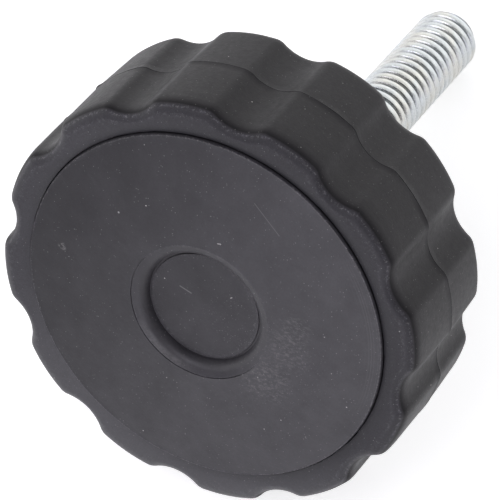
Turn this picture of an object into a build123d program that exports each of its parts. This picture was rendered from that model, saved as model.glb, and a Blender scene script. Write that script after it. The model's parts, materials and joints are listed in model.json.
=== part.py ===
from build123d import *
import math
import os

# Fluted clamping knob with a pressed-in cover and a moulded-in M6 stud.
# Every piece is drawn on the knob's own axis: local +Z points out of the
# front, and local Z = 0 is the crest of the front lip. place() then lays the
# finished knob down as it comes to rest on a bench. Sizes in millimetres.

# Fluted rim
knob_diameter = 38.0        # over the lobes, at the parting line
rim_width = 13.7            # front lip to back face
lobe_count = 12
lobe_crest_radius = 13.1    # flatter than the rim as a whole would be round
flute_depth = 1.0
flute_radius = 3.3
lobe_corner_radius = 1.4    # where a flute runs out onto a lobe
parting_depth = 7.0         # mould parting line, behind the front lip
front_draft = 0.5           # degrees, parting line towards the front
back_draft = 2.0            # degrees, parting line towards the back
front_edge_radius = 1.8
back_edge_radius = 1.35

# Cover recess and hollow behind it
lip_drop = 0.42             # inner edge of the lip, below its crest
lip_round_width = 1.2       # radial width of the rounded inner lip
ledge_width = 1.5           # ledge that the cover sits on
back_wall = 2.4
rib_count = 6
rib_thickness = 1.6
rib_front_drop = 1.2        # rib tops, behind the front of the hub

# Hub and seating face
hub_diameter = 16.0         # inside the hollow
seat_diameter = 13.0        # face that clamps against the machine
boss_root_diameter = 15.0   # boss where it leaves the back face
boss_height = 5.5           # seating face, behind the back face
boss_root_radius = 1.2
seat_chamfer = 0.4

# Cover
cap_diameter = 32.0
cap_clearance = 0.08        # radial, cover edge to recess
cap_sink = 0.07             # cover edge, below the crest of the lip
cap_edge_height = 2.0       # straight side of the cover
cap_edge_break = 0.12
dome_rise = 0.65            # dish rim, above the edge of the cover
dish_diameter = 12.4
dish_depth = 0.98           # central disc, below the dish rim
disc_diameter = 9.8
disc_edge_radius = 0.15
groove_depth = 0.62         # bottom of the groove, below the disc
groove_width = 0.32
shoulder_drop = 0.36        # fall of the dish from its rim to the groove
shoulder_radius = 0.3       # where the dish rolls over into the groove
skirt_thickness = 1.2
skirt_length = 3.2          # below the ledge
skirt_clearance = 0.05      # radial, skirt to hollow
bead_height = 0.22          # snap bead round the skirt
bead_length = 0.9
bead_drop = 1.7             # middle of the bead, below the ledge
bead_clearance = 0.06

# Stud: hexagon-head screw, M6 x 40
thread_diameter = 5.9       # over the thread crests
screw_length = 40.0         # under the head
head_across_flats = 10.0
head_height = 4.0
head_chamfer = 0.45
embedded_length = 10.0      # head seat to seating face, in the moulding
thread_fill = 0.275         # radial, moulding that fills the embedded thread
tip_chamfer_radial = 0.55
tip_chamfer_length = 0.95
insert_clearance = 0.02     # moulding shrinks this far off the steel
mouth_clearance = 0.2       # radial, free thread to the countersunk mouth

# Levels along the axis, all behind the front lip
back_level = -rim_width
seat_level = back_level - boss_height
head_seat_level = seat_level + embedded_length
tip_level = head_seat_level - screw_length
head_front_level = head_seat_level + head_height
hub_front_level = head_front_level
floor_level = back_level + back_wall
cap_edge_level = -cap_sink
ledge_level = cap_edge_level - cap_edge_height

# Radii that follow from the sizes above
rim_radius = knob_diameter / 2
cap_radius = cap_diameter / 2
recess_radius = cap_radius + cap_clearance
hollow_radius = recess_radius - ledge_width
skirt_radius = hollow_radius - skirt_clearance
stud_radius = thread_diameter / 2
embedded_radius = stud_radius - thread_fill
bore_radius = embedded_radius + insert_clearance
mouth_radius = stud_radius + mouth_clearance
crest_centre_radius = rim_radius - lobe_crest_radius
flute_centre_radius = rim_radius - flute_depth + flute_radius
lobe_pitch = 360 / lobe_count


def revolved(profile):
    """Solid of revolution about the knob's axis, from a profile in XZ."""
    return revolve(Plane.XZ * make_face(profile), axis=Axis.Z)


def lobed_outline(level, inset=0):
    """Rim at one level, inset evenly: lobes parted by flutes, corners sharp."""
    crests = PolarLocations(crest_centre_radius, lobe_count, start_angle=lobe_pitch / 2)
    flutes = PolarLocations(flute_centre_radius, lobe_count)
    lobes = Sketch() + crests * Circle(lobe_crest_radius - inset)
    outline = lobes - flutes * Circle(flute_radius + inset)
    return Pos(0, 0, level) * outline.face()


def rim_blank():
    """Fluted block, drafted both ways from the parting line, edges rounded.

    The ridges beside the flutes, which run over the rounded front edge too,
    are the only edges of the block that stand along its axis.
    """
    front_inset = parting_depth * math.tan(math.radians(front_draft))
    back_inset = (rim_width - parting_depth) * math.tan(math.radians(back_draft))
    front = lobed_outline(0, front_inset)
    parting = lobed_outline(-parting_depth)
    back = lobed_outline(back_level, back_inset)
    blank = loft([parting, front], ruled=True) + loft([back, parting], ruled=True)
    front_edges = blank.faces().sort_by(Axis.Z)[-1].edges()
    blank = fillet(front_edges, front_edge_radius)
    ridges = blank.edges().filter_by(
        lambda edge: edge.bounding_box().size.Z > front_edge_radius / 2
    )
    blank = fillet(ridges, lobe_corner_radius)
    back_edges = blank.faces().sort_by(Axis.Z)[0].edges()
    return fillet(back_edges, back_edge_radius)


def lip_cut():
    """Stock above the rounded inner side of the front lip, and the recess."""
    crest_radius = recess_radius + lip_round_width
    arc_radius = (lip_round_width**2 + lip_drop**2) / (2 * lip_drop)
    sweep = math.asin(lip_round_width / arc_radius)
    half = sweep / 2
    middle = (
        crest_radius - arc_radius * math.sin(half),
        -arc_radius * (1 - math.cos(half)),
    )
    crest = (crest_radius, 0)
    inner = (recess_radius, -lip_drop)
    clear = 1.0
    return revolved(
        [
            ThreePointArc(crest, middle, inner),
            Polyline(
                inner,
                (recess_radius, ledge_level),
                (0, ledge_level),
                (0, clear),
                (crest_radius, clear),
                crest,
            ),
        ]
    )


def bead_profile(radius, height, length):
    """Ring of trapezoid section that stands out from a cylinder."""
    middle = ledge_level - bead_drop
    return revolved(
        [
            Polyline(
                (radius - height, middle + length / 2 + height),
                (radius, middle + length / 2),
                (radius + height, middle + length / 2 - height),
                (radius + height, middle - length / 2 + height),
                (radius, middle - length / 2),
                (radius - height, middle - length / 2 - height),
                (radius - height, middle + length / 2 + height),
            )
        ]
    )


def hexagon(across_flats, bottom, height):
    """Upright hexagonal prism between two levels."""
    section = RegularPolygon(across_flats / 2, 6, major_radius=False)
    return extrude(Pos(0, 0, bottom) * section, amount=height)


def cylinder(radius, bottom, top):
    """Upright cylinder between two levels."""
    return extrude(Pos(0, 0, bottom) * Circle(radius), amount=top - bottom)


def circles_at(solid, level, radius):
    """Circular edges of a solid at one level and of one radius."""
    close = 0.01
    return solid.edges().filter_by(GeomType.CIRCLE).filter_by(
        lambda edge: abs(edge.center().Z - level) < close and abs(edge.radius - radius) < close
    )


def seating_boss():
    """Tapered boss on the back face, ending in the seating face."""
    root = Pos(0, 0, back_level) * Circle(boss_root_diameter / 2)
    seat = Pos(0, 0, seat_level) * Circle(seat_diameter / 2)
    boss = loft([root.face(), seat.face()])
    return chamfer(boss.edges().sort_by(Axis.Z)[0], seat_chamfer)


def ribs():
    """Radial ribs that tie the hub to the rim inside the hollow."""
    height = hub_front_level - rib_front_drop - floor_level
    reach = hollow_radius + ledge_width / 2
    rib = Pos(reach / 2, 0, floor_level + height / 2) * Box(reach, rib_thickness, height)
    spread = PolarLocations(0, rib_count, start_angle=lobe_pitch / 2)
    return spread * rib


def knob_body():
    """One moulding: fluted rim, back wall, ribs, hub and seating boss."""
    body = rim_blank() - lip_cut()
    body -= cylinder(hollow_radius, floor_level, ledge_level)
    body -= bead_profile(hollow_radius, bead_height, bead_length + 2 * bead_clearance)
    body += cylinder(hub_diameter / 2, floor_level, hub_front_level)
    body += ribs()
    body += seating_boss()
    body = fillet(circles_at(body, back_level, boss_root_diameter / 2), boss_root_radius)
    body -= hexagon(head_across_flats + 2 * insert_clearance, head_seat_level, head_height)
    body -= cylinder(bore_radius, seat_level, head_seat_level)
    return chamfer(circles_at(body, seat_level, bore_radius), mouth_radius - bore_radius)


def cover_cap():
    """Domed cover with a central dish, a skirt and a snap bead."""
    disc_radius = disc_diameter / 2
    dish_radius = dish_diameter / 2
    dish_level = cap_edge_level + dome_rise
    disc_level = dish_level - dish_depth
    groove_level = disc_level - groove_depth
    groove_radius = disc_radius + groove_width
    shoulder_level = dish_level - shoulder_drop

    # The dome is a sphere through the dish rim and the edge of the cover.
    sphere_radius = (cap_radius**2 - dish_radius**2) / (2 * dome_rise)
    mid_radius = (cap_radius + dish_radius) / 2
    mid_level = cap_edge_level + (cap_radius**2 - mid_radius**2) / (2 * sphere_radius)

    edge_radius = cap_radius - cap_edge_break
    skirt_inner = skirt_radius - skirt_thickness
    skirt_end = ledge_level - skirt_length

    cap = revolved(
        [
            Polyline(
                (0, disc_level),
                (disc_radius, disc_level),
                (disc_radius, groove_level),
                (groove_radius, groove_level),
                (groove_radius, shoulder_level),
                (dish_radius, dish_level),
            ),
            ThreePointArc(
                (dish_radius, dish_level),
                (mid_radius, mid_level),
                (edge_radius, cap_edge_level),
            ),
            Polyline(
                (edge_radius, cap_edge_level),
                (cap_radius, cap_edge_level - cap_edge_break),
                (cap_radius, ledge_level),
                (skirt_radius, ledge_level),
                (skirt_radius, skirt_end),
                (skirt_inner, skirt_end),
                (skirt_inner, ledge_level),
                (0, ledge_level),
                (0, disc_level),
            ),
        ]
    )
    cap += bead_profile(skirt_radius, bead_height, bead_length)
    cap = fillet(circles_at(cap, shoulder_level, groove_radius), shoulder_radius)
    return fillet(circles_at(cap, disc_level, disc_radius), disc_edge_radius)


def threaded_stud():
    """Hexagon-head screw: head in the hub, free thread behind the boss."""
    head = hexagon(head_across_flats, head_seat_level, head_height)
    corner_radius = head_across_flats / math.sqrt(3)
    cone_height = corner_radius
    trim = Pos(0, 0, head_front_level - cone_height / 2) * Cone(
        corner_radius - head_chamfer + cone_height, corner_radius - head_chamfer, cone_height
    )
    head = head & trim
    free = cylinder(stud_radius, tip_level, seat_level)
    tip_edge = free.edges().sort_by(Axis.Z)[0]
    tip_face = free.faces().sort_by(Axis.Z)[0]
    free = chamfer(tip_edge, tip_chamfer_radial, tip_chamfer_length, reference=tip_face)
    return head + cylinder(embedded_radius, seat_level, head_seat_level) + free


def resting_tilt(body, stud):
    """Angle of the axis below level, lying on two lobes and the stud's tip."""
    fall = rim_radius - stud_radius
    run = back_level - tip_level
    tilt = math.atan2(fall, run)
    level_enough = 1e-6
    gap = 1.0
    while abs(gap) > level_enough:
        lying = Rot(90 - math.degrees(tilt), 0, 0)
        gap = (lying * body).bounding_box().min.Z - (lying * stud).bounding_box().min.Z
        tilt -= gap / math.hypot(fall, run)
    return math.degrees(tilt)


def place(pieces):
    """Lay the knob down, stud towards +Y, standing on Z = 0 about the origin."""
    tilt = resting_tilt(pieces["knob_body"], pieces["threaded_stud"])
    lying = Rot(90 - tilt, 0, 0)
    laid = {name: lying * piece for name, piece in pieces.items()}
    box = Compound(list(laid.values())).bounding_box()
    shift = Pos(-box.center().X, -box.center().Y, -box.min.Z)
    return {name: shift * piece for name, piece in laid.items()}


pieces = place(
    {
        "knob_body": knob_body(),
        "cover_cap": cover_cap(),
        "threaded_stud": threaded_stud(),
    }
)

os.makedirs("parts", exist_ok=True)
for name, piece in pieces.items():
    export_step(piece, f"parts/{name}.step")
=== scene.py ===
import json
import math

import bmesh
import bpy
import numpy as np
from mathutils import Matrix, Vector, noise


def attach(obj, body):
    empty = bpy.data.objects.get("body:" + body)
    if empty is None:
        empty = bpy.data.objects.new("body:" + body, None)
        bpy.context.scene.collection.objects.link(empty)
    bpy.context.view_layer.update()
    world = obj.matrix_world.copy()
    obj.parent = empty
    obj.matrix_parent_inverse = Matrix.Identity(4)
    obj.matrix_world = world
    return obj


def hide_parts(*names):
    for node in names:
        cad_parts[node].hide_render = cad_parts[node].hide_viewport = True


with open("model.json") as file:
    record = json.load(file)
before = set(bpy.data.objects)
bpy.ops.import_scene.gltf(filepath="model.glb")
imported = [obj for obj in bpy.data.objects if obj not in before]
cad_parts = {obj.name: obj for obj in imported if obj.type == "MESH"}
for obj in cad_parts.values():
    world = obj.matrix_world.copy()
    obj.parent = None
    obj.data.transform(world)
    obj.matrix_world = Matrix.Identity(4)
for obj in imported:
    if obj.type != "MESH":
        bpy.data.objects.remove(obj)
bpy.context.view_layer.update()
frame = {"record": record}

MM = 0.001

# Sizes in millimetres, and angles in radians, in the knob's own frame: +Z out of
# the front, Z = 0 at the crest of the front lip, a flute centred on -Y.
RIM_RADIUS = 19.0
RIM_WIDTH = 13.7
LOBE_COUNT = 12
CREST_RADIUS = 13.1
FLUTE_DEPTH = 1.0
FLUTE_RADIUS = 3.3
CORNER_RADIUS = 1.4
PARTING_DEPTH = 7.0
FRONT_DRAFT = math.radians(0.5)
BACK_DRAFT = math.radians(2.0)
FRONT_EDGE_RADIUS = 1.8
FRONT_EDGE_POWER = 2.8
RIDGE_DROP = 0.36
RIDGE_HALF_WIDTH = 0.08
CROOK_START = 0.5
CROOK_END = 1.0
LIP_CREASE = 0.03
BACK_EDGE_RADIUS = 1.35
PARTING_MARGIN = 0.08
FLASH_OFFSET = 0.035
CREVICE_HALF_WIDTH = 0.012
NICK_ANGLE = math.radians(143)

RECESS_RADIUS = 16.08
LIP_DROP = 0.34
LIP_ROUND_WIDTH = 1.75
LIP_RIDGE_DROP = 0.06
HOLLOW_RADIUS = 14.58
LEDGE_LEVEL = -2.07
FLOOR_LEVEL = -11.3
BEAD_MIDDLE = -3.77

HUB_RADIUS = 8.0
HUB_FRONT_LEVEL = -5.2
RIB_TOP_LEVEL = -6.4
RIB_THICKNESS = 1.6
RIB_COUNT = 6
FIRST_RIB_ANGLE = math.radians(15)
BOSS_ROOT_RADIUS = 7.5
BOSS_FILLET = 1.2
SEAT_RADIUS = 6.5
SEAT_LEVEL = -19.2
SEAT_CHAMFER = 0.4

CAP_RADIUS = 16.0
CAP_INNERMOST_RING = 0.6
CAP_EDGE_LEVEL = -0.07
CAP_EDGE_BREAK = 0.12
DISH_RADIUS = 6.2
DISH_LEVEL = 0.58
DISC_RADIUS = 4.9
DISC_LEVEL = -0.4
DISC_EDGE_RADIUS = 0.05
GROOVE_CORNER_RADIUS = 0.05
GROOVE_LEVEL = -0.52
GROOVE_WIDTH = 0.15
SHOULDER_DROP = 0.36
SHOULDER_ROUND = 1.1
SEAM_WIDTH = 0.07
SEAM_DEPTH = 0.1
SEAM_ANGLE = math.radians(243)
SKIRT_RADIUS = 14.53
SKIRT_INNER_RADIUS = 13.33
SKIRT_END = -5.27
BEAD_HEIGHT = 0.22
BEAD_LENGTH = 0.9

HEAD_SEAT_LEVEL = -9.2
HEAD_FRONT_LEVEL = -5.2
HEAD_ACROSS_FLATS = 10.0
HEAD_CHAMFER = 0.45
TIP_LEVEL = -49.2
STUD_RADIUS = 2.95
EMBEDDED_RADIUS = 2.675
BORE_RADIUS = 2.695
MOUTH_RADIUS = 3.15
POCKET_HALF_WIDTH = 5.02
THREAD_PITCH = 1.0
THREAD_DEPTH = 0.32
CREST_DROP = 0.05
ROOT_DROP = 0.03
TIP_CHAMFER_RADIAL = 0.55
TIP_CHAMFER_LENGTH = 0.95

# Where the thread's crest ends and its root begins, in pitches from the crest's middle
CREST_SHARE = 0.32
ROOT_SHARE = 0.43

# How finely the meshes are cut, and the angle from which an edge is drawn sharp
CAP_COLUMNS = 480
STUD_COLUMNS = 120
SHARP_ANGLE = math.radians(38)


# Where the knob lies
def knob_to_row():
    """Matrix from the knob's own frame in millimetres to the row frame in metres."""
    mounts = {mount["name"]: mount for mount in frame["record"]["mounts"]}
    stud = mounts["threaded_stud"]
    outward = Vector(stud["axis"]).normalized()
    middle = SEAT_LEVEL - stud["dims"]["length_mm"] / 2
    origin = Vector(stud["pos_m"]) + outward * (middle * MM)
    z_axis = -outward
    x_axis = Vector((1, 0, 0))
    y_axis = z_axis.cross(x_axis)
    turn = Matrix((x_axis, y_axis, z_axis)).transposed().to_4x4()
    return Matrix.Translation(origin) @ turn @ Matrix.Scale(MM, 4)


KNOB = knob_to_row()


# Mesh helpers
def arc(start, stop, count):
    """Evenly spaced values, both ends included."""
    return np.linspace(start, stop, count)


def ring_mesh(name, rings, close_rows, caps=()):
    """Mesh from an array of rings, rows x columns x 3, in knob millimetres."""
    rows, columns, _ = rings.shape
    points = rings.reshape(-1, 3)
    index = np.arange(rows * columns).reshape(rows, columns)
    upper = index if close_rows else index[:-1]
    lower = np.roll(index, -1, axis=0) if close_rows else index[1:]
    quads = np.stack(
        [upper, np.roll(upper, -1, axis=1), np.roll(lower, -1, axis=1), lower], axis=-1
    ).reshape(-1, 4)
    faces = quads.tolist()
    extra = []
    for row, centre in caps:
        tip = len(points) + len(extra)
        extra.append(centre)
        start = index[row].tolist()
        after = np.roll(start, -1).tolist()
        if row == 0:
            faces += [(b, a, tip) for a, b in zip(start, after)]
        else:
            faces += [(a, b, tip) for a, b in zip(start, after)]
    if extra:
        points = np.vstack([points, np.array(extra)])
    return make_object(name, points, faces)


def make_object(name, points, faces, weld=False):
    """Object with smooth shading and its knob coordinates kept as an attribute."""
    mesh = bpy.data.meshes.new(name)
    mesh.from_pydata(points.tolist(), [], faces)
    local = mesh.attributes.new("knob_mm", "FLOAT_VECTOR", "POINT")
    local.data.foreach_set("vector", points.astype(np.float32).ravel())
    mesh.transform(KNOB)
    if weld:
        weld_mesh(mesh, 1e-6)
    mesh.update()
    mesh.polygons.foreach_set("use_smooth", [True] * len(mesh.polygons))
    mesh.set_sharp_from_angle(angle=SHARP_ANGLE)
    piece = bpy.data.objects.new(name, mesh)
    bpy.context.scene.collection.objects.link(piece)
    return piece


def weld_mesh(mesh, distance):
    """Join doubled points and drop faces that have no area."""
    work = bmesh.new()
    work.from_mesh(mesh)
    bmesh.ops.remove_doubles(work, verts=work.verts, dist=distance)
    bmesh.ops.dissolve_degenerate(work, edges=work.edges, dist=distance)
    bmesh.ops.recalc_face_normals(work, faces=work.faces)
    work.to_mesh(mesh)
    work.free()


def add_wear_and_shade(piece, values):
    """Float attribute that marks where edges are rubbed, and where painted shade lies when below 0.
    """
    layer = piece.data.attributes.new("wear_and_shade", "FLOAT", "POINT")
    layer.data.foreach_set("value", values.astype(np.float32).ravel())


def wobble(points, scale, seed):
    """Smooth noise at each point, about -1 to 1, for points in millimetres."""
    shift = Vector((seed, 2.3 * seed, -1.7 * seed))
    return np.array([noise.noise(Vector(p) * scale + shift) for p in points.tolist()])


# Fluted body
def half_period(inset, corner_radius):
    """Outline points and outward normals from a flute's centre to a lobe's."""
    half_pitch = math.pi / LOBE_COUNT
    orbit = RIM_RADIUS - CREST_RADIUS
    crest = orbit * np.array([math.cos(half_pitch), math.sin(half_pitch)])
    crest_radius = CREST_RADIUS - inset
    flute = np.array([RIM_RADIUS - FLUTE_DEPTH + FLUTE_RADIUS, 0.0])
    flute_radius = FLUTE_RADIUS + inset

    # The corner circle touches the flute from outside and the crest from inside.
    gap = crest - flute
    apart = math.hypot(gap[0], gap[1])
    near = flute_radius + corner_radius
    far = crest_radius - corner_radius
    cosine = (near**2 + apart**2 - far**2) / (2 * near * apart)
    joint = math.atan2(gap[1], gap[0]) - math.acos(cosine)
    corner = flute + near * np.array([math.cos(joint), math.sin(joint)])
    turn = math.atan2(corner[1] - crest[1], corner[0] - crest[0])
    spans = [
        (flute, flute_radius, arc(math.pi, joint, 9), -1),
        (corner, corner_radius, arc(joint - math.pi, turn, 11)[1:], 1),
        (crest, crest_radius, arc(turn, half_pitch, 6)[1:], 1),
    ]
    points = []
    normals = []
    for middle, radius, angles, side in spans:
        ray = np.stack([np.cos(angles), np.sin(angles)], axis=1)
        points.append(middle + radius * ray)
        normals.append(side * ray)
    return np.vstack(points), np.vstack(normals)


def whole_outline(inset, corner_radius):
    """Points and normals all round the rim, starting at the flute on -Y."""
    points, normals = half_period(inset, corner_radius)
    mirror = np.array([1.0, -1.0])
    period = np.vstack([points[::-1][:-1] * mirror, points])[:-1]
    period_normals = np.vstack([normals[::-1][:-1] * mirror, normals])[:-1]
    all_points = []
    all_normals = []
    for lobe in range(LOBE_COUNT):
        angle = -math.pi / 2 + lobe * 2 * math.pi / LOBE_COUNT
        cosine = math.cos(angle)
        sine = math.sin(angle)
        turn = np.array([[cosine, sine], [-sine, cosine]])
        all_points.append(period @ turn)
        all_normals.append(period_normals @ turn)
    return np.vstack(all_points), np.vstack(all_normals)


OUTLINE, NORMALS = whole_outline(0.0, CORNER_RADIUS)
ANGLES = np.arctan2(OUTLINE[:, 1], OUTLINE[:, 0])
RAYS = np.stack([np.cos(ANGLES), np.sin(ANGLES)], axis=1)
COLUMNS = len(OUTLINE)


def ring(xy, level):
    """Ring of 3-D points from plane points and one level or a level for each."""
    heights = np.broadcast_to(level, (len(xy),))
    return np.column_stack([xy, heights])


def lobed(inset, level, corner_radius=CORNER_RADIUS):
    """Ring of the rim's outline, drawn in by an inset."""
    return ring(whole_outline(inset, corner_radius)[0], level)


def circle(radius, level):
    """Ring with one radius, on the same rays as the rim's outline."""
    return ring(RAYS * radius, level)


def lip_inner(radius):
    """Height of the rounded inner side of the lip at a radius."""
    rise = LIP_DROP - LIP_RIDGE_DROP
    curve = (LIP_ROUND_WIDTH**2 + rise**2) / (2 * rise)
    depth = np.clip(RECESS_RADIUS + LIP_ROUND_WIDTH - radius, 0, LIP_ROUND_WIDTH)
    return -LIP_RIDGE_DROP - curve + np.sqrt(curve**2 - depth**2)


def soft_min(a, b, width):
    """The lower of two heights, with the crease between them rounded off."""
    blend = np.clip(0.5 + 0.5 * (b - a) / width, 0, 1)
    return b + (a - b) * blend - width * blend * (1 - blend)


def front_rings():
    """Front fillet and lip, from the top of the wall in to the recess.

    The mark is above 0 on the rubbed ridges, and below 0 just outside them, where it paints shade on
    the fillet.
    """
    start = PARTING_DEPTH * math.tan(FRONT_DRAFT)
    rings = []
    wear_and_shade = []
    for turn in arc(0, math.pi / 2, 37)[1:]:
        # squarer than a quarter circle: a flat top and a tight, rubbed outer ridge
        across = max(math.cos(turn), 0.0) ** (2 / FRONT_EDGE_POWER)
        upward = math.sin(turn) ** (2 / FRONT_EDGE_POWER)
        drop = FRONT_EDGE_RADIUS * (1 - upward)
        inset = start + FRONT_EDGE_RADIUS * (1 - across)
        xy = whole_outline(inset, CORNER_RADIUS * max(across, 0.1))[0]
        inner = lip_inner(np.hypot(xy[:, 0], xy[:, 1]))
        rings.append(ring(xy, soft_min(-drop, inner, LIP_CREASE)))
        ridge = np.exp(-(((drop - RIDGE_DROP) / RIDGE_HALF_WIDTH) ** 2)) * (inner > -drop)
        crest = 0.35 * np.exp(-(((inner + drop) / 0.04) ** 2))
        # Painted shade on the fillet, just outside the ridge.
        crook = np.clip((drop - CROOK_START) / 0.1, 0, 1) * np.clip((CROOK_END - drop) / 0.4, 0, 1)
        wear_and_shade.append(np.maximum(ridge, crest) - crook)
    last = rings[-1][:, :2]
    recess_edge = circle(RECESS_RADIUS, 0.0)
    ragged = wobble(recess_edge, 0.9, 17.0) + wobble(recess_edge, 3.0, 4.0)
    bore = RAYS * (RECESS_RADIUS + 0.03 * ragged)[:, None]
    for share in arc(0, 1, 21)[1:]:
        xy = last + (bore - last) * share
        inner = lip_inner(np.hypot(xy[:, 0], xy[:, 1]))
        rings.append(ring(xy, soft_min(0.0, inner, LIP_CREASE)))
        wear_and_shade.append(0.3 * np.exp(-(((inner + LIP_RIDGE_DROP) / 0.02) ** 2)))
    return rings, wear_and_shade


def flash_height():
    """Flash along the parting line: a thin broken ridge, with one torn nick."""
    spots = circle(RIM_RADIUS, 0.0)
    coarse = wobble(spots, 0.35, 3.1)
    fine = wobble(spots, 1.7, 8.4)
    height = 0.016 + 0.03 * coarse + 0.02 * fine
    nick = np.exp(-(((ANGLES - NICK_ANGLE) / 0.03) ** 2))
    return np.clip(height, 0.0, None) + 0.08 * nick


def parting_line():
    """Small step of the rear half, and the depth of the crevice beside it."""
    spots = circle(RIM_RADIUS, 0.0)
    step = np.clip(0.01 + 0.02 * wobble(spots, 0.5, 12.0), 0, None)
    crevice = np.clip(0.035 + 0.06 * wobble(spots, 0.3, 21.0), 0.0, 0.07)
    return step, crevice


def rib_floor(xy):
    """Level of the hollow's floor, raised where a rib crosses it."""
    level = np.full(len(xy), FLOOR_LEVEL)
    for rib in range(RIB_COUNT):
        angle = FIRST_RIB_ANGLE + rib * 2 * math.pi / RIB_COUNT
        along = xy @ np.array([math.cos(angle), math.sin(angle)])
        across = xy @ np.array([-math.sin(angle), math.cos(angle)])
        level[(along > 0) & (np.abs(across) < RIB_THICKNESS / 2)] = RIB_TOP_LEVEL
    return level


def hexagon_radius(angles, half_width):
    """Radius of a hexagon along each ray, flats facing as on the screw's head."""
    sector = (angles + math.pi / 6) % (math.pi / 3) - math.pi / 6
    return half_width / np.cos(sector)


def body_rings():
    """Every ring of the moulding, out over the rim and back through the hollow."""
    rings = []
    wear_and_shade = []

    def add(new, mark=0.0):
        rings.append(new)
        wear_and_shade.append(np.broadcast_to(mark, (COLUMNS,)))

    # stud bore, seating face, boss
    for level in arc(HEAD_SEAT_LEVEL, SEAT_LEVEL + MOUTH_RADIUS - BORE_RADIUS, 4):
        add(circle(BORE_RADIUS, level))
    for radius in arc(MOUTH_RADIUS, SEAT_RADIUS - SEAT_CHAMFER, 5):
        add(circle(radius, SEAT_LEVEL))
    for step in arc(0, 1, 3)[1:]:
        add(circle(SEAT_RADIUS - SEAT_CHAMFER * (1 - step), SEAT_LEVEL + SEAT_CHAMFER * step), 0.4)
    boss_top = -RIM_WIDTH - BOSS_FILLET
    for share in arc(0, 1, 7)[1:]:
        level = SEAT_LEVEL + SEAT_CHAMFER + share * (boss_top - SEAT_LEVEL - SEAT_CHAMFER)
        slope = (level - SEAT_LEVEL) / (-RIM_WIDTH - SEAT_LEVEL)
        add(circle(SEAT_RADIUS + (BOSS_ROOT_RADIUS - SEAT_RADIUS) * slope, level))
    foot = rings[-1][0]
    foot_radius = math.hypot(foot[0], foot[1])
    for turn in arc(0, math.pi / 2, 8)[1:]:
        radius = foot_radius + BOSS_FILLET * (1 - math.cos(turn))
        add(circle(radius, boss_top + BOSS_FILLET * math.sin(turn)))

    # back face, back fillet, wall up to the parting line
    back_inset = (RIM_WIDTH - PARTING_DEPTH) * math.tan(BACK_DRAFT)
    inner_curve = whole_outline(back_inset + BACK_EDGE_RADIUS, 0.05)[0]
    start = rings[-1][:, :2]
    for share in arc(0, 1, 9)[1:]:
        add(ring(start + (inner_curve - start) * share, -RIM_WIDTH))
    for turn in arc(0, math.pi / 2, 13)[1:]:
        level = -RIM_WIDTH + BACK_EDGE_RADIUS * (1 - math.cos(turn))
        rounding = BACK_EDGE_RADIUS * (1 - math.sin(turn))
        inset = back_inset + rounding - (level + RIM_WIDTH) * math.tan(BACK_DRAFT)
        add(lobed(inset, level, CORNER_RADIUS - rounding))
    top = -PARTING_DEPTH - PARTING_MARGIN
    for level in arc(-RIM_WIDTH + BACK_EDGE_RADIUS, top, 9)[1:]:
        add(lobed((-PARTING_DEPTH - level) * math.tan(BACK_DRAFT), level))

    # parting line: a crevice and a ridge of flash
    flash = flash_height()
    step, crevice = parting_line()
    add(ring(OUTLINE + step[:, None] * NORMALS, -PARTING_DEPTH - FLASH_OFFSET), 0.15)
    add(ring(OUTLINE - crevice[:, None] * NORMALS, -PARTING_DEPTH - CREVICE_HALF_WIDTH))
    add(ring(OUTLINE - crevice[:, None] * NORMALS, -PARTING_DEPTH + CREVICE_HALF_WIDTH))
    add(ring(OUTLINE + flash[:, None] * NORMALS, -PARTING_DEPTH + FLASH_OFFSET), 0.3)
    for level in arc(-PARTING_DEPTH + PARTING_MARGIN, -FRONT_EDGE_RADIUS, 9):
        add(lobed((level + PARTING_DEPTH) * math.tan(FRONT_DRAFT), level))
    fronts, marks = front_rings()
    for new, mark in zip(fronts, marks):
        add(new, mark)

    # recess, ledge, snap groove, hollow
    for level in arc(-LIP_DROP - 0.15, LEDGE_LEVEL, 4):
        add(circle(RECESS_RADIUS, level))
    add(circle(HOLLOW_RADIUS, LEDGE_LEVEL))
    half = BEAD_LENGTH / 2 + 0.06
    for drop, depth in ((half, 0), (half - BEAD_HEIGHT, 1), (BEAD_HEIGHT - half, 1), (-half, 0)):
        add(circle(HOLLOW_RADIUS + depth * BEAD_HEIGHT, BEAD_MIDDLE + drop))
    add(circle(HOLLOW_RADIUS, RIB_TOP_LEVEL + 0.1))
    for radius in arc(HOLLOW_RADIUS, HUB_RADIUS, 10):
        xy = RAYS * radius
        add(ring(xy, rib_floor(xy)))
    add(circle(HUB_RADIUS, RIB_TOP_LEVEL + 0.1))
    add(circle(HUB_RADIUS, HUB_FRONT_LEVEL))
    pocket = hexagon_radius(ANGLES, POCKET_HALF_WIDTH)
    add(ring(RAYS * pocket[:, None], HUB_FRONT_LEVEL))
    add(ring(RAYS * pocket[:, None], HEAD_SEAT_LEVEL))
    return np.array(rings), np.array(wear_and_shade)


def build_body():
    """The moulding, with walls that wander by about a hundredth of a millimetre."""
    rings, wear_and_shade = body_rings()
    flat = rings.reshape(-1, 3)
    radius = np.hypot(flat[:, 0], flat[:, 1])
    skin = (radius > RECESS_RADIUS + 0.3).astype(float)
    swell = 0.012 * wobble(flat, 0.22, 5.0) + 0.004 * wobble(flat, 0.9, 1.5)
    ray = flat[:, :2] / np.maximum(radius, 1e-6)[:, None]
    flat[:, :2] += ray * (swell * skin)[:, None]
    piece = ring_mesh("knob_body_skin", flat.reshape(rings.shape), close_rows=True)
    add_wear_and_shade(piece, wear_and_shade)
    return piece


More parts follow.
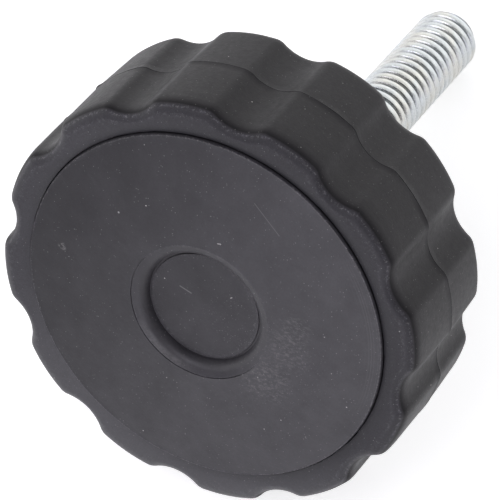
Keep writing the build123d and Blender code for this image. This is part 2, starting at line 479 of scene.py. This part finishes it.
# Cover
def cap_profile():
    """Radius and level pairs from the middle of the dish out, round and back."""
    pairs = []
    for radius in arc(CAP_INNERMOST_RING, DISC_RADIUS - DISC_EDGE_RADIUS, 9):
        pairs.append((radius, DISC_LEVEL))
    for turn in arc(0, math.pi / 2, 6)[1:]:
        pairs.append(
            (
                DISC_RADIUS - DISC_EDGE_RADIUS * (1 - math.sin(turn)),
                DISC_LEVEL - DISC_EDGE_RADIUS * (1 - math.cos(turn)),
            )
        )
    for turn in arc(0, math.pi / 2, 5):
        pairs.append(
            (
                DISC_RADIUS + GROOVE_CORNER_RADIUS * (1 - math.cos(turn)),
                GROOVE_LEVEL + GROOVE_CORNER_RADIUS * (1 - math.sin(turn)),
            )
        )
    # The shoulder's round starts a little below the groove's floor, and a gentle
    # slope runs out from it to the seam.
    wall = DISC_RADIUS + GROOVE_WIDTH
    shoulder = DISH_LEVEL - SHOULDER_DROP
    slope = math.atan2(SHOULDER_DROP, DISH_RADIUS - wall)
    reach = SHOULDER_ROUND * math.tan((math.pi / 2 - slope) / 2)
    for level in arc(GROOVE_LEVEL, shoulder - reach, 6):
        pairs.append((wall, level))
    for turn in arc(0, math.pi / 2 - slope, 9)[1:]:
        pairs.append(
            (
                wall + SHOULDER_ROUND * (1 - math.cos(turn)),
                shoulder - reach + SHOULDER_ROUND * math.sin(turn),
            )
        )
    start = pairs[-1]
    for share in arc(0, 1, 6)[1:]:
        radius = start[0] + (DISH_RADIUS - start[0]) * share
        pairs.append((radius, start[1] + (DISH_LEVEL - start[1]) * share))
    # The dome is a sphere, and a fine seam runs round the rim of the dish.
    sphere = (CAP_RADIUS**2 - DISH_RADIUS**2) / (2 * (DISH_LEVEL - CAP_EDGE_LEVEL))
    edge = CAP_RADIUS - CAP_EDGE_BREAK
    pairs.append((DISH_RADIUS + 0.01, DISH_LEVEL - SEAM_DEPTH))
    pairs.append((DISH_RADIUS + SEAM_WIDTH, DISH_LEVEL - SEAM_DEPTH))
    for radius in [DISH_RADIUS + SEAM_WIDTH + 0.01, *arc(DISH_RADIUS + 0.2, edge - 0.1, 30)]:
        level = CAP_EDGE_LEVEL + (CAP_RADIUS**2 - radius**2) / (2 * sphere)
        pairs.append((radius, level))
    pairs.append((edge - 0.03, CAP_EDGE_LEVEL + 0.012))
    pairs.append((edge, CAP_EDGE_LEVEL + 0.022))
    pairs.append((edge + 0.035, CAP_EDGE_LEVEL + 0.008))
    pairs.append((edge + 0.06, CAP_EDGE_LEVEL - 0.03))
    pairs.append((CAP_RADIUS, CAP_EDGE_LEVEL - CAP_EDGE_BREAK))
    for level in arc(CAP_EDGE_LEVEL - 0.4, LEDGE_LEVEL, 4):
        pairs.append((CAP_RADIUS, level))
    pairs.append((SKIRT_RADIUS, LEDGE_LEVEL))
    half = BEAD_LENGTH / 2
    pairs.append((SKIRT_RADIUS, BEAD_MIDDLE + half))
    pairs.append((SKIRT_RADIUS + BEAD_HEIGHT, BEAD_MIDDLE + half - BEAD_HEIGHT))
    pairs.append((SKIRT_RADIUS + BEAD_HEIGHT, BEAD_MIDDLE - half + BEAD_HEIGHT))
    pairs.append((SKIRT_RADIUS, BEAD_MIDDLE - half))
    pairs.append((SKIRT_RADIUS, SKIRT_END))
    pairs.append((SKIRT_INNER_RADIUS, SKIRT_END))
    pairs.append((SKIRT_INNER_RADIUS, LEDGE_LEVEL))
    pairs.append((CAP_INNERMOST_RING, LEDGE_LEVEL))
    return np.array(pairs)


def build_cap():
    """The cover: its profile turned round, with a broken seam and a burred edge."""
    pairs = cap_profile()
    angles = arc(0, 2 * math.pi, CAP_COLUMNS + 1)[:-1]
    rays = np.stack([np.cos(angles), np.sin(angles)], axis=1)
    rings = np.array([ring(rays * radius, level) for radius, level in pairs])
    # the seam shows on the lower left of the dish and is broken elsewhere
    seam = np.abs(pairs[:, 1] - (DISH_LEVEL - SEAM_DEPTH)) < 1e-6
    facing = np.cos(angles - SEAM_ANGLE)
    for row in np.nonzero(seam)[0]:
        broken = 0.85 + 0.9 * wobble(rings[row], 1.1, 14.0)
        share = np.clip((facing + 0.15) / 0.35, 0, 1) * np.clip(broken, 0.15, 1.2)
        rings[row, :, 2] = DISH_LEVEL - SEAM_DEPTH * share
    burr = (np.abs(pairs[:, 0] - (CAP_RADIUS - CAP_EDGE_BREAK)) < 0.05) & (pairs[:, 1] > -0.1)
    for row in np.nonzero(burr)[0]:
        ripple = 0.5 + 0.9 * wobble(rings[row], 1.3, 2.0) + 0.5 * wobble(rings[row], 4.0, 6.0)
        rings[row, :, 2] += 0.018 * np.clip(ripple, 0, 1.6)
    ends = [(0, (0.0, 0.0, LEDGE_LEVEL)), (len(pairs) - 1, (0.0, 0.0, DISC_LEVEL))]
    piece = ring_mesh("cover_cap_skin", rings[::-1], False, ends)
    edge_wear = np.exp(-(((pairs[:, 0] - CAP_RADIUS + 0.1) / 0.07) ** 2)) * (pairs[:, 1] > -0.2)
    dish_wear = np.exp(-(((pairs[:, 0] - DISH_RADIUS) / 0.06) ** 2)) * (pairs[:, 1] > 0.4)
    disc_wear = np.exp(-(((pairs[:, 0] - DISC_RADIUS + 0.06) / 0.06) ** 2)) * (pairs[:, 1] > -0.5)
    marks = np.repeat((edge_wear + 0.5 * dish_wear + 0.4 * disc_wear)[::-1], CAP_COLUMNS)
    add_wear_and_shade(piece, np.concatenate([marks, [0, 0]]))
    return piece


# Stud
def thread_radius(phase):
    """Radius of the rolled thread at a share of a turn: rounded crest at 0, root at 0.5."""
    distance = abs((phase + 0.5) % 1.0 - 0.5)
    if distance < CREST_SHARE:
        return STUD_RADIUS - CREST_DROP * (distance / CREST_SHARE) ** 2
    if distance < ROOT_SHARE:
        steep = (distance - CREST_SHARE) / (ROOT_SHARE - CREST_SHARE)
        return STUD_RADIUS - CREST_DROP - (THREAD_DEPTH - CREST_DROP) * steep
    bottom = (distance - ROOT_SHARE) / (0.5 - ROOT_SHARE)
    return STUD_RADIUS - THREAD_DEPTH - ROOT_DROP * math.sin(bottom * math.pi / 2)


def helix_rows(columns):
    """Rows of the free thread, each one turn round, from the tip to the seat."""
    steps = (0.0, 0.08, 0.15, 0.22, 0.29, 0.36, 0.43, 0.5, 0.57, 0.64, 0.71, 0.78, 0.85, 0.92)
    angles = arc(0, 2 * math.pi, columns + 1)[:-1]
    turns = int(SEAT_LEVEL - TIP_LEVEL) + 2
    tip_radius = STUD_RADIUS - TIP_CHAMFER_RADIAL
    rows = []
    for turn in range(turns):
        for step in steps:
            climb = (turn - 1 + step) + angles / (2 * math.pi)
            level = TIP_LEVEL + THREAD_PITCH * climb
            flat = np.clip(level, TIP_LEVEL, SEAT_LEVEL)
            cone = tip_radius + (flat - TIP_LEVEL) * TIP_CHAMFER_RADIAL / TIP_CHAMFER_LENGTH
            radius = np.minimum(thread_radius(step), cone)
            radius = np.where(level < TIP_LEVEL, tip_radius - 0.05, radius)
            radius = np.where(level > SEAT_LEVEL, EMBEDDED_RADIUS, radius)
            rows.append(np.column_stack([np.cos(angles) * radius, np.sin(angles) * radius, flat]))
    return np.array(rows), len(steps)


def build_stud():
    """The screw: helical free thread, shank, and hexagon head inside the hub."""
    columns = STUD_COLUMNS
    helix, pitch_rows = helix_rows(columns)
    angles = arc(0, 2 * math.pi, columns + 1)[:-1]
    rays = np.stack([np.cos(angles), np.sin(angles)], axis=1)
    flats = hexagon_radius(angles, HEAD_ACROSS_FLATS / 2)
    corner = HEAD_ACROSS_FLATS / math.sqrt(3)
    faces = []
    for column in range(columns):
        after = (column + 1) % columns
        lift = pitch_rows if after == 0 else 0
        for row in range(len(helix) - 1 - lift):
            low = row * columns
            high = (row + lift) * columns
            faces.append((low + column, high + after, high + columns + after, low + columns + column))
    points = [helix.reshape(-1, 3)]

    # plain shank inside the moulding, and the hexagon head
    head = []
    for level in arc(SEAT_LEVEL, HEAD_SEAT_LEVEL, 6):
        head.append(ring(rays * EMBEDDED_RADIUS, level))
    head.append(ring(rays * flats[:, None], HEAD_SEAT_LEVEL))
    for drop in (HEAD_CHAMFER, HEAD_CHAMFER * 2 / 3, HEAD_CHAMFER / 3, 0.0):
        radius = np.minimum(flats, corner - HEAD_CHAMFER + drop)
        head.append(ring(rays * radius[:, None], HEAD_FRONT_LEVEL - drop))
    start = len(helix) * columns
    for row in range(len(head) - 1):
        for column in range(columns):
            after = (column + 1) % columns
            low = start + row * columns
            faces.append((low + column, low + after, low + columns + after, low + columns + column))
    points.extend(head)
    tip = start + len(head) * columns
    points.append(np.array([(0, 0, TIP_LEVEL), (0, 0, HEAD_FRONT_LEVEL)]))
    for column in range(columns):
        after = (column + 1) % columns
        top = tip - columns
        faces.append((after, column, tip))
        faces.append((top + column, top + after, tip + 1))
    return make_object("threaded_stud_skin", np.vstack(points), faces, weld=True)


body = build_body()
cap = build_cap()
stud = build_stud()


# Materials
class Surface:
    """Nodes of one material, built from short calls."""

    def __init__(self, name):
        self.material = bpy.data.materials.new(name)
        self.material.use_nodes = True
        self.tree = self.material.node_tree
        self.tree.nodes.clear()
        output = self.tree.nodes.new("ShaderNodeOutputMaterial")
        self.shader = self.tree.nodes.new("ShaderNodeBsdfPrincipled")
        self.tree.links.new(self.shader.outputs["BSDF"], output.inputs["Surface"])
        self.place = self.node("ShaderNodeAttribute", {}, attribute_name="knob_mm").outputs["Vector"]

    def node(self, kind, inputs, **settings):
        made = self.tree.nodes.new(kind)
        for key, value in settings.items():
            setattr(made, key, value)
        for key, value in inputs.items():
            self.feed(made.inputs[key], value)
        return made

    def feed(self, socket, value):
        if isinstance(value, bpy.types.NodeSocket):
            self.tree.links.new(value, socket)
        else:
            socket.default_value = value

    def set(self, name, value):
        self.feed(self.shader.inputs[name], value)

    def math(self, operation, a, b=0.0):
        return self.node("ShaderNodeMath", {0: a, 1: b}, operation=operation).outputs[0]

    def product(self, *factors):
        result = factors[0]
        for factor in factors[1:]:
            result = self.math("MULTIPLY", result, factor)
        return result

    def highest(self, *values):
        """Greatest of the values at each point."""
        result = values[0]
        for value in values[1:]:
            result = self.math("MAXIMUM", result, value)
        return result

    def vector(self, operation, a, b=(0, 0, 0), output="Vector"):
        made = self.node("ShaderNodeVectorMath", {0: a, 1: b}, operation=operation)
        return made.outputs[output]

    def stretched(self, factors):
        """Place in knob millimetres, scaled by a factor on each axis."""
        return self.vector("MULTIPLY", self.place, factors)

    def along(self, direction):
        """Place along a direction across the knob's face, 0 on its axis."""
        return self.vector("DOT_PRODUCT", self.place, direction, "Value")

    def radius(self):
        """Millimetres from the knob's axis."""
        return self.vector("LENGTH", self.stretched((1, 1, 0)), output="Value")

    def height(self):
        """Level along the knob's axis, 0 at the crest of the front lip."""
        return self.node("ShaderNodeSeparateXYZ", {"Vector": self.place}).outputs["Z"]

    def noise(self, scale, detail=2.0, roughness=0.5, place=None):
        """Noise about 0.5, with features of 1/scale millimetres."""
        made = self.node(
            "ShaderNodeTexNoise",
            {
                "Vector": place or self.place,
                "Scale": scale,
                "Detail": detail,
                "Roughness": roughness,
            },
        )
        return made.outputs["Fac"]

    def rise(self, value, low, high, bottom=0.0, top=1.0):
        """Smooth step from bottom to top while the value goes from low to high."""
        made = self.node(
            "ShaderNodeMapRange",
            {"Value": value, "From Min": low, "From Max": high, "To Min": bottom, "To Max": top},
            interpolation_type="SMOOTHSTEP",
        )
        return made.outputs["Result"]

    def linear(self, value, low, high, bottom, top):
        """Straight ramp from bottom to top while the value goes from low to high."""
        made = self.node(
            "ShaderNodeMapRange",
            {"Value": value, "From Min": low, "From Max": high, "To Min": bottom, "To Max": top},
        )
        return made.outputs["Result"]

    def mix(self, factor, a, b):
        """Colour a where the factor is 0 and colour b where it is 1."""
        made = self.node("ShaderNodeMix", {}, data_type="RGBA")
        self.feed(made.inputs[0], factor)
        for socket, colour in ((made.inputs[6], a), (made.inputs[7], b)):
            self.feed(socket, colour if isinstance(colour, bpy.types.NodeSocket) else (*colour, 1))
        return made.outputs[2]

    def scaled(self, colour, tone):
        """Colour made lighter or darker by a factor."""
        made = self.node("ShaderNodeVectorMath", {0: colour}, operation="SCALE")
        self.feed(made.inputs["Scale"], tone)
        return made.outputs["Vector"]

    def specks(self, spacing, radius):
        """Dust: small blots, cut by the surface out of scattered balls."""
        made = self.node(
            "ShaderNodeTexVoronoi", {"Vector": self.place, "Scale": 1 / spacing}, feature="F1"
        )
        near = radius / spacing
        return self.rise(made.outputs["Distance"], near * 0.6, near, 1.0, 0.0)

    def segment(self, flat, start, end, half_width):
        """Mask of a straight scratch between two points of the cover's face."""
        base = (*start, 0)
        along = (end[0] - start[0], end[1] - start[1], 0)
        length = math.hypot(*along)
        unit = tuple(value / length for value in along)
        offset = self.vector("SUBTRACT", flat, base)
        share = self.vector("DOT_PRODUCT", offset, unit, "Value")
        share = self.math("MINIMUM", self.math("MAXIMUM", share, 0.0), length)
        nearest = self.scaled(unit, share)
        distance = self.vector("DISTANCE", offset, nearest, "Value")
        return self.rise(distance, half_width * 0.3, half_width, 1.0, 0.0)

    def spot(self, flat, centre, radius):
        """Soft round mask on the cover's face."""
        distance = self.vector("DISTANCE", flat, (*centre, 0), "Value")
        return self.rise(distance, radius * 0.35, radius, 1.0, 0.0)

    def bump(self, height, depth_mm):
        """Relief: a height of 1 stands depth_mm proud."""
        made = self.node(
            "ShaderNodeBump", {"Height": height, "Distance": depth_mm * MM, "Strength": 1.0}
        )
        self.set("Normal", made.outputs["Normal"])


# Linear red, green and blue
BODY_COLOUR = (0.0275, 0.0262, 0.0285)
LIP_COLOUR = (0.0270, 0.0258, 0.0310)
COVER_COLOUR = (0.0300, 0.0284, 0.0335)
DUST_AND_LIGHT_COLOUR = (0.42, 0.41, 0.40)
BLUISH_ZINC = (0.66, 0.695, 0.705)
YELLOWISH_ZINC = (0.71, 0.71, 0.67)
DARK_REFLECTION_ZINC = (0.13, 0.16, 0.17)

# Relief of the plastic's grain and of the plating, in millimetres
RELIEF = 0.012

# Scratches and flecks on the cover's face: start, end, half width, strength
SCRATCHES = (
    ((-2.40, 0.96), (-1.35, 0.73), 0.08, 0.2),
    ((2.1, 1.86), (2.2, 1.96), 0.07, 0.6),
    ((0.55, 7.27), (0.81, 7.35), 0.06, 0.75),
    ((2.92, 12.23), (5.48, 10.24), 0.05, 0.12),
)


def plastic(name, base, roughness):
    """Matt black moulding: mottled, grained, dusty, rubbed where marked above 0, and darkened by
    painted shade where marked below 0.
    """
    surface = Surface(name)
    surface.base = base
    blotches = surface.noise(0.16, 3.0)
    surface.patches = surface.noise(0.9, 4.0, 0.6)
    surface.grain = surface.noise(5.0, 3.0, 0.65)
    wear_and_shade = surface.node("ShaderNodeAttribute", {}, attribute_name="wear_and_shade").outputs["Fac"]
    worn = surface.math("MAXIMUM", wear_and_shade, 0.0)
    # The mark's part below 0 is painted shade, darkening and dulling the fillet.
    surface.crook = surface.math("MAXIMUM", surface.math("MULTIPLY", wear_and_shade, -1.0), 0.0)
    chafe = surface.noise(1.6, 5.0, 0.7)
    rubbed = surface.product(worn, surface.rise(chafe, 0.42, 0.68))
    surface.tone = surface.product(
        surface.linear(blotches, 0.3, 0.7, 0.93, 1.07),
        surface.linear(surface.patches, 0.3, 0.7, 0.95, 1.05),
        surface.linear(surface.grain, 0.3, 0.7, 0.9, 1.1),
        surface.linear(rubbed, 0, 1, 1.0, 2.2),
        surface.linear(surface.crook, 0, 1, 1.0, 0.62),
    )
    scuffs = surface.noise(5.0, 4.0, 0.8)
    surface.dust = surface.highest(
        surface.product(surface.specks(0.34, 0.05), surface.rise(chafe, 0.4, 0.65, 0.0, 0.3)),
        surface.product(surface.specks(1.7, 0.07), surface.rise(surface.patches, 0.4, 0.6, 0.2, 0.9)),
        surface.product(worn, surface.rise(scuffs, 0.5, 0.66), 0.22),
    )
    haze = surface.noise(2.2, 4.0, 0.6)
    surface.dull = surface.linear(haze, 0.25, 0.75, roughness - 0.06, roughness + 0.08)
    return surface


def finish_plastic(surface, gloss):
    """Join tone, dust, dullness and relief to the shader."""
    surface.set("Specular IOR Level", gloss)
    colour = surface.scaled(surface.base, surface.tone)
    surface.set("Base Color", surface.mix(surface.dust, colour, DUST_AND_LIGHT_COLOUR))
    surface.set("Roughness", surface.math("ADD", surface.dull, surface.product(surface.dust, 0.3)))
    surface.bump(
        surface.math("ADD", surface.grain, surface.product(surface.patches, 1.5)), RELIEF
    )
    return surface.material


def body_plastic():
    """The walls are dull; the front of the rim is handled, smoother and pitted."""
    surface = plastic("body_moulding", BODY_COLOUR, 0.48)
    level = surface.height()
    front = surface.rise(level, -0.58, -0.42)
    surface.base = surface.mix(front, BODY_COLOUR, LIP_COLOUR)
    pitting = surface.linear(surface.noise(7.5, 4.0, 0.8), 0.3, 0.7, 0.72, 1.3)

    # painted shade darkens the lip on its upper right and next to the cover; the lip is shinier at
    # the bottom
    upper_right_shade = surface.along((0.8, 0.6, 0))
    upper_right_shade = surface.product(front, surface.rise(upper_right_shade, -6, 13))
    bottom = surface.rise(surface.along((-0.1, -1.0, 0)), 4, 18)
    surface.tone = surface.product(
        surface.tone,
        surface.mix(front, (1, 1, 1), pitting),
        surface.linear(upper_right_shade, 0, 1, 1.0, 0.8),
        surface.rise(surface.radius(), RECESS_RADIUS, RECESS_RADIUS + 1.1, 0.82, 1.0),
    )
    wall_gloss = surface.linear(front, 0, 1, 0.22, 0.0)
    front_gloss = surface.product(front, surface.linear(bottom, 0, 1, 0.36, 0.72))
    gloss = surface.product(
        surface.math("ADD", front_gloss, wall_gloss),
        surface.linear(upper_right_shade, 0, 1, 1.0, 0.78),
        surface.linear(surface.crook, 0, 1, 1.0, 0.55),
    )
    return finish_plastic(surface, gloss)


def face_marks(surface, flat, radius):
    """Dust strengths of the handling marks on the cover's face, which also carry a painted highlight
    on the dish's slope and painted light in the groove at the disc's foot.
    """
    streaks = surface.noise(2.4, 6.0, 0.8, surface.stretched((1.0, 1.6, 1.0)))
    scuffed = surface.product(
        surface.highest(
            surface.spot(flat, (6.6, -3.7), 3.2),
            surface.spot(flat, (8.0, -0.2), 2.6),
            surface.spot(flat, (8.3, 2.0), 2.0),
        ),
        surface.rise(radius, DISH_RADIUS, DISH_RADIUS + 0.4),
        surface.rise(streaks, 0.46, 0.66),
        0.13,
    )
    dusty = surface.product(
        surface.specks(0.21, 0.04),
        surface.highest(surface.spot(flat, (2.6, -0.6), 3.4), surface.spot(flat, (7.2, -2.4), 6.0)),
        surface.rise(streaks, 0.4, 0.6),
        0.3,
    )
    # Scuffs, and a painted highlight, on the lower left of the dish's slope.
    dish_slope = surface.product(
        surface.rise(radius, 5.5, 5.85),
        surface.rise(radius, 6.15, 6.2, 1.0, 0.0),
        surface.spot(flat, (-2.7, -5.4), 3.6),
        surface.rise(streaks, 0.36, 0.62, 0.25, 1.0),
        0.1,
    )
    # Dust in the groove at the disc's foot, partly painted light that lifts its shade.
    dish_foot = surface.product(
        surface.rise(radius, 4.86, 4.92),
        surface.rise(radius, 5.1, 5.8, 1.0, 0.0),
        surface.rise(streaks, 0.35, 0.65, 0.3, 1.0),
        0.035,
    )
    swirl = surface.node("ShaderNodeCombineXYZ", {"X": radius, "Y": surface.product(streaks, 0.12)})
    edge_lines = surface.product(
        surface.rise(surface.noise(5.5, 1.0, 0.5, swirl.outputs["Vector"]), 0.5, 0.6),
        surface.rise(radius, 14.4, 15.6),
        surface.rise(radius, 15.88, 15.92, 1.0, 0.0),
        surface.spot(flat, (14.5, 4.0), 9.0),
        0.07,
    )
    smudge = surface.product(
        surface.spot(flat, (-12.99, 0.42), 0.5), surface.rise(streaks, 0.45, 0.6), 0.3
    )
    fleck = surface.product(surface.spot(flat, (-8.41, 6.14), 0.12), 0.6)
    scratches = [
        surface.product(surface.segment(flat, start, end, half_width), strength)
        for start, end, half_width, strength in SCRATCHES
    ]
    return [*scratches, fleck, smudge, scuffed, dish_slope, edge_lines, dish_foot, dusty]


def cover_plastic():
    """The cover's plastic: duller and painted darker to the left, with handling marks, painted light
    on the dish, and painted shade in the gap.
    """
    surface = plastic("cover_moulding", COVER_COLOUR, 0.40)
    flat = surface.stretched((1, 1, 0))
    radius = surface.radius()
    surface.dust = surface.highest(surface.dust, *face_marks(surface, flat, radius))

    # painted shade makes the left of the face darker than the right; the same mask makes it duller,
    # darkens and dulls the disc, and adds a random mottle
    side_shade_and_mottle = surface.product(
        surface.rise(surface.along((0.93, -0.15, 0)), -18, 5, 0.62, 1.0),
        surface.rise(radius, DISC_RADIUS - 0.1, DISC_RADIUS, 0.86, 1.0),
        surface.linear(surface.noise(0.22, 4.0, 0.6), 0.3, 0.7, 0.9, 1.1),
    )

    # painted shade on the edge in the gap round the cover, on its upper right, with few specks there
    gap = surface.product(
        surface.rise(radius, CAP_RADIUS - 0.03, CAP_RADIUS - 0.01),
        surface.rise(surface.height(), -0.35, -0.2, 1.0, 0.0),
        surface.rise(surface.along((0.75, 0.66, 0)), -4, 8),
    )
    surface.tone = surface.product(surface.tone, side_shade_and_mottle, surface.linear(gap, 0, 1, 1.0, 0.25))
    surface.dust = surface.product(surface.dust, surface.linear(gap, 0, 1, 1.0, 0.1))
    return finish_plastic(surface, surface.product(side_shade_and_mottle, 0.42))


def zinc_plate():
    """Bright zinc: tinted, hazy and streaked, with a painted dark reflection in the upper valleys."""
    surface = Surface("zinc_plate")
    tint = surface.noise(0.35, 3.0)
    haze = surface.noise(2.5, 4.0, 0.6)
    streaks = surface.noise(1.2, 4.0, 0.6, surface.stretched((1.0, 1.0, 5.0)))
    outward = surface.vector("NORMALIZE", surface.stretched((1, 1, 0)))
    upward = surface.vector("DOT_PRODUCT", outward, (0.42, 0.91, 0), "Value")
    sideways = surface.vector("DOT_PRODUCT", outward, (0.91, -0.42, 0), "Value")
    # Painted dark reflection in the thread's valleys on the upper side.
    valley_reflection = surface.product(
        surface.rise(surface.radius(), 2.66, 2.86, 1.0, 0.0),
        surface.rise(upward, 0.74, 0.94),
        surface.rise(haze, 0.3, 0.6, 0.6, 1.0),
    )
    # Streaks, and painted shade that darkens both sides of the stud.
    streaks_and_side_shade = surface.product(
        surface.linear(streaks, 0.3, 0.7, 0.92, 1.06),
        surface.rise(sideways, 0.1, 0.8, 1.0, 0.8),
        surface.rise(sideways, -0.95, -0.3, 0.8, 1.0),
    )
    colour = surface.mix(surface.rise(tint, 0.4, 0.62), BLUISH_ZINC, YELLOWISH_ZINC)
    colour = surface.mix(valley_reflection, colour, DARK_REFLECTION_ZINC)
    surface.set("Base Color", surface.scaled(colour, streaks_and_side_shade))
    surface.set("Metallic", 1.0)
    surface.set("Roughness", surface.linear(haze, 0.25, 0.75, 0.2, 0.32))
    surface.bump(surface.math("ADD", haze, surface.product(streaks, 0.6)), RELIEF)
    return surface.material


body.data.materials.append(body_plastic())
cap.data.materials.append(cover_plastic())
stud.data.materials.append(zinc_plate())

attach(body, "root")
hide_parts("knob_body")
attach(cap, "root")
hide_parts("cover_cap")
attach(stud, "root")
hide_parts("threaded_stud")


# Floor, light, camera
FLOOR_GLOW = 0.58
REAR_LOW = 1.4
REAR_HIGH = 0.9
FRONT_LOW = 0.1
FRONT_HIGH = 0.4
FRONT_AZIMUTH = math.radians(-50)
SOFTBOX_DISTANCE = 0.8
SOFTBOX_SIZE = 0.42
KNOB_MIDDLE = Vector((0, 0, 0.02))
LAMP_COLOUR = (0.985, 0.955, 1.06)


def build_floor():
    """Pale paper, a little brighter where the camera or a reflection sees it."""
    size = 3.0
    mesh = bpy.data.meshes.new("floor")
    corners = [(-size, -size, 0), (size, -size, 0), (size, size, 0), (-size, size, 0)]
    mesh.from_pydata(corners, [], [(0, 1, 2, 3)])
    floor = bpy.data.objects.new("floor", mesh)
    bpy.context.scene.collection.objects.link(floor)
    material = bpy.data.materials.new("floor_paper")
    material.use_nodes = True
    tree = material.node_tree
    shader = tree.nodes["Principled BSDF"]
    shader.inputs["Base Color"].default_value = (0.86, 0.86, 0.86, 1)
    shader.inputs["Roughness"].default_value = 0.9
    shader.inputs["Specular IOR Level"].default_value = 0.0
    light_path = tree.nodes.new("ShaderNodeLightPath")
    glow = tree.nodes.new("ShaderNodeEmission")
    glow.inputs["Strength"].default_value = FLOOR_GLOW
    add = tree.nodes.new("ShaderNodeAddShader")
    seen = tree.nodes.new("ShaderNodeMixShader")
    output = tree.nodes["Material Output"]
    tree.links.new(shader.outputs["BSDF"], add.inputs[0])
    tree.links.new(glow.outputs["Emission"], add.inputs[1])
    looked_at = light_path.outputs["Is Camera Ray"]
    for kind in ("Is Glossy Ray", "Is Transmission Ray"):
        either = tree.nodes.new("ShaderNodeMath")
        either.operation = "MAXIMUM"
        tree.links.new(looked_at, either.inputs[0])
        tree.links.new(light_path.outputs[kind], either.inputs[1])
        looked_at = either.outputs["Value"]
    tree.links.new(looked_at, seen.inputs["Fac"])
    tree.links.new(shader.outputs["BSDF"], seen.inputs[1])
    tree.links.new(add.outputs["Shader"], seen.inputs[2])
    tree.links.new(seen.outputs["Shader"], output.inputs["Surface"])
    mesh.materials.append(material)
    return floor


def build_world():
    """Soft studio surround: pale behind the knob, dimmer in front, dark overhead."""
    world = bpy.data.worlds.new("studio")
    world.use_nodes = True
    tree = world.node_tree
    tree.nodes.clear()
    output = tree.nodes.new("ShaderNodeOutputWorld")
    sky = tree.nodes.new("ShaderNodeBackground")
    sky.inputs["Color"].default_value = (1, 1, 1, 1)
    direction = tree.nodes.new("ShaderNodeTexCoord").outputs["Generated"]

    def along(axis):
        made = tree.nodes.new("ShaderNodeVectorMath")
        made.operation = "DOT_PRODUCT"
        made.inputs[1].default_value = axis
        tree.links.new(direction, made.inputs[0])
        return made.outputs["Value"]

    def fade(value, low, high, bottom, top):
        made = tree.nodes.new("ShaderNodeMapRange")
        made.interpolation_type = "SMOOTHSTEP"
        given = {"Value": value, "From Min": low, "From Max": high, "To Min": bottom, "To Max": top}
        for key, part in given.items():
            if isinstance(part, bpy.types.NodeSocket):
                tree.links.new(part, made.inputs[key])
            else:
                made.inputs[key].default_value = part
        return made.outputs["Result"]

    height = along((0, 0, 1))
    front = along((math.cos(FRONT_AZIMUTH), math.sin(FRONT_AZIMUTH), 0))
    rear_wall = fade(height, 0.21, 0.47, REAR_LOW, REAR_HIGH)
    front_wall = fade(height, 0.21, 0.47, FRONT_LOW, FRONT_HIGH)
    walls = fade(front, -0.25, 0.35, rear_wall, front_wall)
    tree.links.new(fade(height, 0.71, 0.91, walls, 0.0), sky.inputs["Strength"])
    tree.links.new(sky.outputs["Background"], output.inputs["Surface"])
    bpy.context.scene.world = world


def area_lamp(name, place, target, size, power):
    """Square soft lamp, aimed at a target."""
    data = bpy.data.lights.new(name, "AREA")
    data.color = LAMP_COLOUR
    data.shape = "SQUARE"
    data.size = size
    data.energy = power
    lamp = bpy.data.objects.new(name, data)
    lamp.location = place
    aim = Vector(target) - Vector(place)
    lamp.rotation_euler = aim.to_track_quat("-Z", "Y").to_euler()
    bpy.context.scene.collection.objects.link(lamp)
    return lamp


def softbox(name, azimuth, elevation, power):
    """Large lamp aimed at the knob; angles in degrees, power in watts."""
    across = SOFTBOX_DISTANCE * math.cos(math.radians(elevation))
    offset = Vector(
        (
            across * math.cos(math.radians(azimuth)),
            across * math.sin(math.radians(azimuth)),
            SOFTBOX_DISTANCE * math.sin(math.radians(elevation)),
        )
    )
    return area_lamp(name, KNOB_MIDDLE + offset, KNOB_MIDDLE, SOFTBOX_SIZE, power)


CAMERA_TARGET = Vector((0.00162, -0.01408, 0.02434))
CAMERA_AZIMUTH = math.radians(32.25)
CAMERA_ELEVATION = math.radians(58.22)
CAMERA_ROLL = math.radians(-5.28)
CAMERA_DISTANCE = 0.321
FIELD_OF_VIEW = math.radians(7.221)


def build_camera():
    """Camera at the photograph's place, looking down on the knob."""
    level = math.cos(CAMERA_ELEVATION)
    forward = Vector(
        (
            -math.sin(CAMERA_AZIMUTH) * level,
            math.cos(CAMERA_AZIMUTH) * level,
            -math.sin(CAMERA_ELEVATION),
        )
    )
    data = bpy.data.cameras.new("camera")
    data.sensor_fit = "HORIZONTAL"
    data.angle = FIELD_OF_VIEW
    data.clip_start = 0.01
    camera = bpy.data.objects.new("camera", data)
    camera.location = CAMERA_TARGET - forward * CAMERA_DISTANCE
    upright = forward.to_track_quat("-Z", "Y").to_matrix().to_4x4()
    roll = Matrix.Rotation(CAMERA_ROLL, 4, "Z")
    camera.matrix_world = Matrix.Translation(camera.location) @ upright @ roll
    bpy.context.scene.collection.objects.link(camera)
    bpy.context.scene.camera = camera
    return camera


build_floor()
build_world()
softbox("key", -112, 57, 1.6)
softbox("top", -57, 72, 0.6)
softbox("front", -85, 12, 1.6)
softbox("right", -45, 10, 0.6)
softbox("left", -150, 22, 0.35)
area_lamp("near_fill", (0.05, -0.13, 0.03), KNOB_MIDDLE, 0.05, 0.012)
build_camera()
bpy.context.scene.view_settings.view_transform = "Standard"
